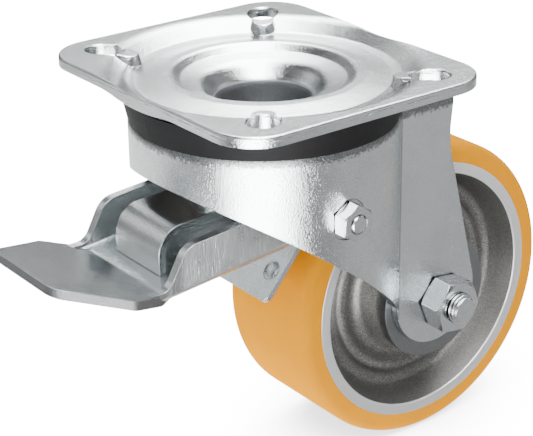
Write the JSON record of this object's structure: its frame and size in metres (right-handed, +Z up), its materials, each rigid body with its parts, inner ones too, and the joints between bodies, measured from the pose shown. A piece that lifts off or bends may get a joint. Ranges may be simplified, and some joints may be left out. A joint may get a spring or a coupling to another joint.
{
  "type": "swivel castor",
  "caption": "Swivel castor with a top plate, deep-drawn fork, hard tread on a cast wheel and a foot-operated wheel brake.",
  "frame": {"origin": "centre of the plate's upper face plane, on the swivel axis", "axes": "+Z up out of the plate, +X towards the brake pedal with the wheel trailing to -X, +Y towards the nuts, axle along Y"},
  "size_m": [0.1851, 0.104, 0.1332],
  "materials": {
    "zinc_sheet": "bright zinc plated pressed steel",
    "zinc_hardware": "bright zinc plated steel",
    "bearing_steel": "ground and hardened steel",
    "cast_wheel": "as cast, with a turned rim",
    "tread": "smooth cast elastomer",
    "seal": "matt rubber"
  },
  "bodies": {
    "plate": {"top_plate": "zinc_sheet", "lower_race": "bearing_steel"},
    "fork": {"fork": "zinc_sheet", "seal_ring": "seal", "upper_balls": "bearing_steel", "lower_balls": "bearing_steel", "axle_bolt": "zinc_hardware", "axle_nut": "zinc_hardware", "axle_sleeve": "bearing_steel", "bearing_inner_nut_side": "bearing_steel", "bearing_inner_head_side": "bearing_steel", "thread_guard_nut_side": "zinc_sheet", "thread_guard_head_side": "zinc_sheet", "brake_bolt": "zinc_hardware", "brake_nut": "zinc_hardware", "brake_spacer_nut_side": "bearing_steel", "brake_spacer_head_side": "bearing_steel"},
    "wheel": {"wheel_core": "cast_wheel", "tread": "tread", "bearing_outer_nut_side": "bearing_steel", "bearing_outer_head_side": "bearing_steel", "bearing_balls_nut_side": "bearing_steel", "bearing_balls_head_side": "bearing_steel", "bearing_seal_nut_side": "seal", "bearing_seal_head_side": "seal"},
    "pedal": {"pedal": "zinc_sheet", "release_strap": "zinc_sheet", "brake_shoe": "zinc_sheet", "pivot_sleeve": "bearing_steel"}
  },
  "joints": [
    {"name": "swivel", "type": "hinge", "parent": "plate", "child": "fork", "pos_m": [0, 0, 0], "axis": [0, 0, 1], "continuous": true},
    {"name": "wheel_spin", "type": "hinge", "parent": "fork", "child": "wheel", "pos_m": [-0.0496, 0, -0.0832], "axis": [0, 1, 0], "continuous": true},
    {"name": "brake_pedal", "type": "hinge", "parent": "fork", "child": "pedal", "pos_m": [0.00075, 0, -0.037], "axis": [0, 1, 0], "range_deg": [0, 19]}
  ]
}
